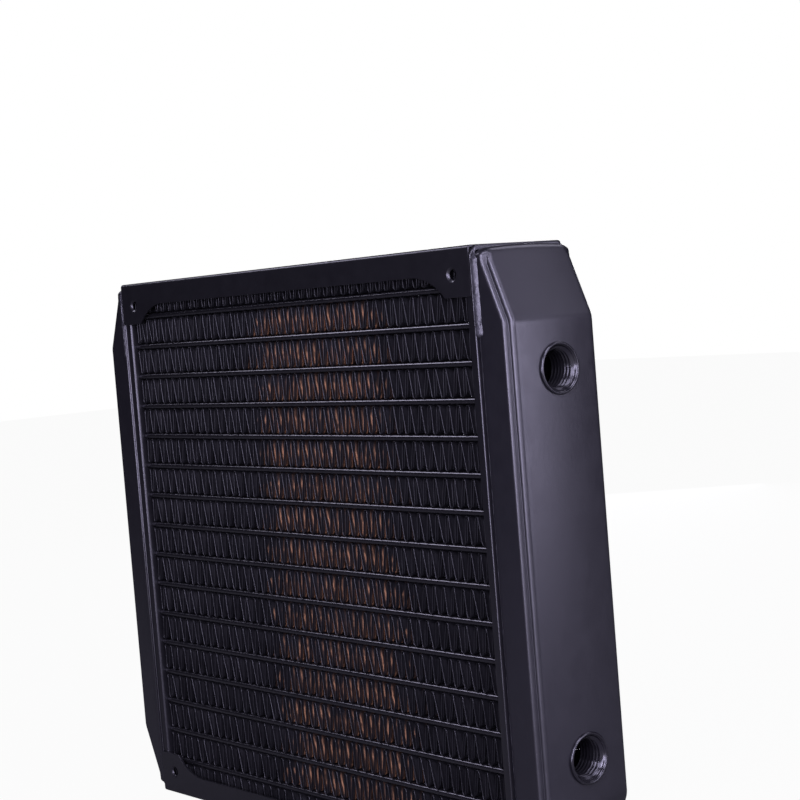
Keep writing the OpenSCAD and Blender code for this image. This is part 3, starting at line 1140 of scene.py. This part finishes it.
def seam_loop():
    """Points round the tank's foot as ((y, z), outward direction)."""
    base = rect_loop(FOOT_Y, WIDTH - TANK_TOP, TANK_TOP, RIM_CORNER - SHEET_T, 5)
    dense = []
    for i, point in enumerate(base):
        a, b = Vector(point), Vector(base[(i + 1) % len(base)])
        pieces = max(1, math.ceil((b - a).length / 0.5))
        dense += [a.lerp(b, k / pieces) for k in range(pieces)]
    loop = []
    centre = Vector((0, WIDTH / 2))
    for i, p in enumerate(dense):
        run = (dense[(i + 1) % len(dense)] - dense[i - 1]).normalized()
        out = Vector((run.y, -run.x))
        loop.append((p, out if out.dot(p - centre) > 0 else -out))
    return loop


def build_solder(name, mirror, material):
    """The seam between a header's lip and its tank: a thin fillet, but a thick smear near two corners."""
    verts = []
    for p, out in seam_loop():
        drop = min(WIDTH - p.y, p.y)
        across = ease(abs(out.y) * 1.6 - 0.5)
        thick = ease((drop - THICK_START) / 2.4) * (1 - ease((WIDTH - p.y - THICK_RUN) / 1.0))
        if p.x > 0 or abs(out.x) < 0.9:
            thick = 0.0
        lump = noise.noise(Vector((p.x * 0.9, p.y * 0.42, mirror * 5)))
        fine = noise.noise(Vector((p.x * 2.1, p.y * 1.25, mirror * 9)))
        for i, ((x0, h0), (x1, h1), (x2, h2)) in enumerate(zip(SEAM_THIN, SEAM_TOP, SEAM_THICK)):
            x = x0 + (x1 - x0) * across
            h = h0 + (h1 - h0) * across
            x += (x2 - x) * thick
            h += (h2 - h) * thick
            if i < 7:
                grain = noise.noise(Vector((x * 1.3, p.y * 0.9 + p.x, mirror * 3 + 0.5)))
                swell = 0.05 * fine + thick * (0.14 * lump + 0.16 * grain)
                h += swell * (1.5 if i < 2 else 1)
                x += (0.05 * fine + thick * (0.12 * lump + 0.05 * fine)) * (i / 6)
            q = p + out * min(h, HALF_DEPTH - FOOT_Y + 0.15)
            verts.append(((LIP_X + x) * mirror, q.x, q.y))
    cols = len(SEAM_THIN)
    faces = grid_faces(len(verts) // cols, cols, closed_rows=True, closed_cols=True)
    obj = new_object(name, verts, faces)
    tidy_mesh(obj, smooth_angle=50)
    obj.data.materials.append(material)
    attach(obj, ROOT_BODY)
    return obj


# ---- materials and pieces ----

black = satin_paint("satin_black", (0.0042, 0.0039, 0.0054), rough=(0.29, 0.36))
tank_black = satin_paint("satin_black_tank", (0.0052, 0.0048, 0.0070), rough=(0.30, 0.36), grain=0.008)
tube_black = satin_paint("thin_black", (0.0045, 0.0042, 0.0056), rough=(0.17, 0.25), peel=0.05)
port_black = port_paint("port_black", (0.0050, 0.0046, 0.0064))
plug_black = satin_paint("plug_black", (0.012, 0.012, 0.013), rough=(0.24, 0.34), peel=0.004)
seam_black = solder_paint("painted_solder", (0.014, 0.0132, 0.018))
foil = fin_foil("sprayed_copper_foil")
brass = bare_metal("bare_brass", (0.62, 0.45, 0.2))
rubber = seal_rubber("nitrile_rubber")

build_side_plate("top_plate", "top_side_plate", False, black)
build_side_plate("bottom_plate", "bottom_side_plate", True, black)
build_header("port_header", "port_header_plate", 1, black)
build_header("return_header", "return_header_plate", -1, black)
build_tank("port_tank", "port_tank_shell", 1, [WIDTH - PORT_DROP, PORT_DROP], tank_black)
build_tank("return_tank", "return_tank_shell", -1, [WIDTH - PORT_DROP], tank_black)
build_solder("port_tank_solder", 1, seam_black)
build_solder("return_tank_solder", -1, seam_black)
build_port("upper_port", "upper_port_bush", port_place(COLLAR_FACE, WIDTH - PORT_DROP, 1), port_black)
build_port("lower_port", "lower_port_bush", port_place(COLLAR_FACE, PORT_DROP, 1), port_black)
build_port("bleed_port", "bleed_port_bush", port_place(-COLLAR_FACE, WIDTH - PORT_DROP, -1), port_black)
build_plug(plug_black)
build_seal(rubber)
for tube_node in TUBES:
    build_tube(tube_node, tube_black)
for fin_node in FINS:
    build_fins(fin_node, foil)
divider = frame["nodes"]["tank_divider"]
divider.data.materials.clear()
divider.data.materials.append(brass)


# ---- stage, light and camera ----

FLOOR_HALF = 3.0
SEEN_SHARE = 0.96
SHEET_SHARE = 0.6
BOX_COLOUR = (0.86, 0.84, 1)


def build_floor():
    """White to the camera, dark to the object, which mirrors a sheet only towards +X -Y and -X +Y."""
    mesh = bpy.data.meshes.new("floor")
    corners = [(x * FLOOR_HALF, y * FLOOR_HALF, 0) for x, y in ((-1, -1), (1, -1), (1, 1), (-1, 1))]
    mesh.from_pydata(corners, [], [(0, 1, 2, 3)])
    floor = bpy.data.objects.new("floor", mesh)
    bpy.context.scene.collection.objects.link(floor)
    floor.location.z = -0.0002
    n = Nodes("pale_floor")
    n.set(base_color=(0.1, 0.1, 0.1, 1), roughness=0.8)
    glow = n.add("ShaderNodeEmission")
    glow.inputs["Color"].default_value = (1, 1, 1, 1)
    glow.inputs["Strength"].default_value = 1.0
    path = n.add("ShaderNodeLightPath")
    share = n.math("MULTIPLY", (path, "Is Camera Ray"), SEEN_SHARE)
    split = n.axes()
    product = n.math("MULTIPLY", (split, "X"), (split, "Y"))
    quarter = n.ramp(n.math("MULTIPLY", (product, 0), -1), 0, 0.0, SHEET_SHARE, 0.004, 0.03)
    mirrored = n.math("MULTIPLY", (quarter, "Result"), (path, "Is Glossy Ray"))
    share = n.math("ADD", (share, 0), (mirrored, 0))
    mix = n.add("ShaderNodeMixShader")
    n.link(share, 0, mix, 0)
    n.tree.links.new(n.shader.outputs["BSDF"], mix.inputs[1])
    n.tree.links.new(glow.outputs["Emission"], mix.inputs[2])
    n.link(mix, "Shader", n.output, "Surface")
    mesh.materials.append(n.material)


def build_world():
    """White behind the object; a dim room for everything that it reflects."""
    world = bpy.data.worlds.new("studio")
    bpy.context.scene.world = world
    world.use_nodes = True
    tree = world.node_tree
    tree.nodes.clear()
    output = tree.nodes.new("ShaderNodeOutputWorld")
    seen = tree.nodes.new("ShaderNodeBackground")
    seen.inputs["Color"].default_value = (1, 1, 1, 1)
    felt = tree.nodes.new("ShaderNodeBackground")
    felt.inputs["Color"].default_value = (0.95, 0.95, 1, 1)
    felt.inputs["Strength"].default_value = 0.004
    path = tree.nodes.new("ShaderNodeLightPath")
    mix = tree.nodes.new("ShaderNodeMixShader")
    tree.links.new(path.outputs["Is Camera Ray"], mix.inputs[0])
    tree.links.new(felt.outputs[0], mix.inputs[1])
    tree.links.new(seen.outputs[0], mix.inputs[2])
    tree.links.new(mix.outputs[0], output.inputs[0])


def softbox(name, azimuth, elevation, size, watts):
    """A square light a metre from the visible corner; azimuth in degrees from +X towards +Y."""
    target = Vector((0.09, 0, 0.15))
    light = bpy.data.lights.new(name, "AREA")
    light.shape = "SQUARE"
    light.size = size
    light.energy = watts
    light.color = BOX_COLOUR
    obj = bpy.data.objects.new(name, light)
    bpy.context.scene.collection.objects.link(obj)
    turn, lift = math.radians(azimuth), math.radians(elevation)
    away = Vector((math.cos(lift) * math.cos(turn), math.cos(lift) * math.sin(turn), math.sin(lift)))
    obj.location = target + away
    obj.rotation_mode = "QUATERNION"
    obj.rotation_quaternion = away.to_track_quat("Z", "Y")


def build_camera():
    """Placed from the fan screw hole at the upper port corner."""
    hole = Vector((FAN_HALF, -HALF_DEPTH, WIDTH - HOLE_TO_EDGE)) * MM
    offset = Vector((0.3892, -0.3556, -0.0084))
    right = Vector((0.6494, 0.7562, -0.0801))
    forward = Vector((-0.7603, 0.6473, -0.0532)).normalized()
    up = right.cross(forward).normalized()
    right = forward.cross(up).normalized()
    data = bpy.data.cameras.new("camera")
    data.sensor_width = 36
    data.lens = 78.35
    data.clip_start, data.clip_end = 0.01, 20
    camera = bpy.data.objects.new("camera", data)
    bpy.context.scene.collection.objects.link(camera)
    turn = Matrix((right, up, -forward)).transposed().to_4x4()
    camera.matrix_world = Matrix.Translation(hole + offset) @ turn
    bpy.context.scene.camera = camera


build_floor()
build_world()
for box in (
    ("key", -70, 0, 0.4, 10.2),
    ("upper_key", -54, 28, 0.36, 9.0),
    ("fill_left", -42, 8, 0.4, 5.6),
    ("fill_right", -16, 12, 0.4, 5.0),
    ("end_high", 10, 30, 0.4, 3.2),
    ("end_low", 28, 2, 0.4, 4.0),
    ("bend", 44, 18, 0.4, 0.3),
    ("slant", 50, 32, 0.4, 0.75),
    ("top", -20, 58, 0.5, 8.0),
    ("top_back", 92, 50, 0.4, 1.6),
    ("edge", -160, 38, 0.3, 2.2),
    ("back", 135, 2, 0.4, 6.0),
):
    softbox(*box)
build_camera()
bpy.context.scene.view_settings.view_transform = "Standard"
